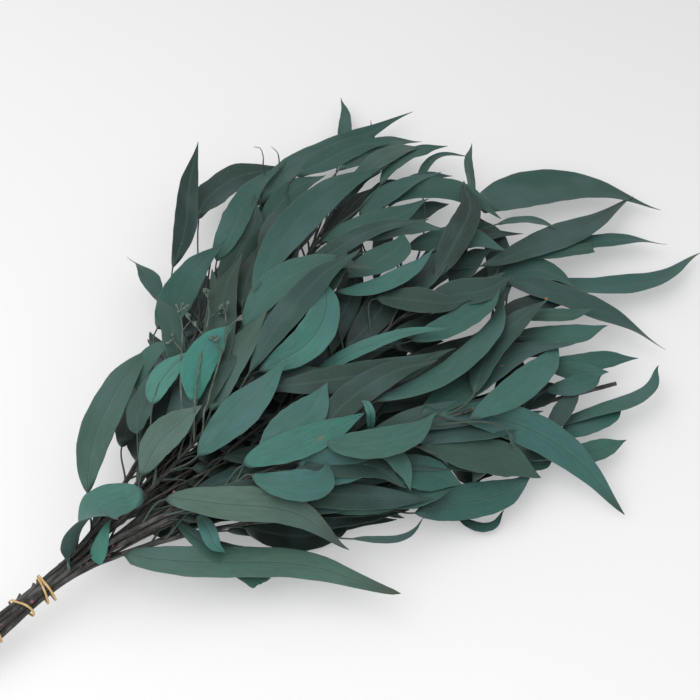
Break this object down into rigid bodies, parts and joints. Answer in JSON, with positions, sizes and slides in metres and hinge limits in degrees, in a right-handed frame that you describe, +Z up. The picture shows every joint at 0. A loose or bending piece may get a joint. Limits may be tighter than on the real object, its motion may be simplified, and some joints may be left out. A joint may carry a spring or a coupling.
{
  "type": "eucalyptus branch bunch",
  "caption": "Tied bunch of preserved eucalyptus stems with long narrow leaves, lying flat, for floral and interior decoration.",
  "frame": {"origin": "on the table under the middle of the bunch's box", "axes": "+X along the bunch from the cut stem ends to the leaf tips, +Z up from the table"},
  "size_m": [0.672, 0.4114, 0.0692],
  "materials": {
    "leaf": "matt waxy dyed leaf on dark thin stems",
    "rubber": "matt tan rubber band"
  },
  "bodies": {
    "root": {"leafy_stem_01": "leaf", "leafy_stem_02": "leaf", "leafy_stem_03": "leaf", "leafy_stem_04": "leaf", "leafy_stem_05": "leaf", "leafy_stem_06": "leaf", "leafy_stem_07": "leaf", "leafy_stem_08": "leaf", "leafy_stem_09": "leaf", "leafy_stem_10": "leaf", "leafy_stem_11": "leaf", "tie_band_inner": "rubber", "tie_band_outer": "rubber", "stem_band": "rubber"}
  },
  "joints": []
}
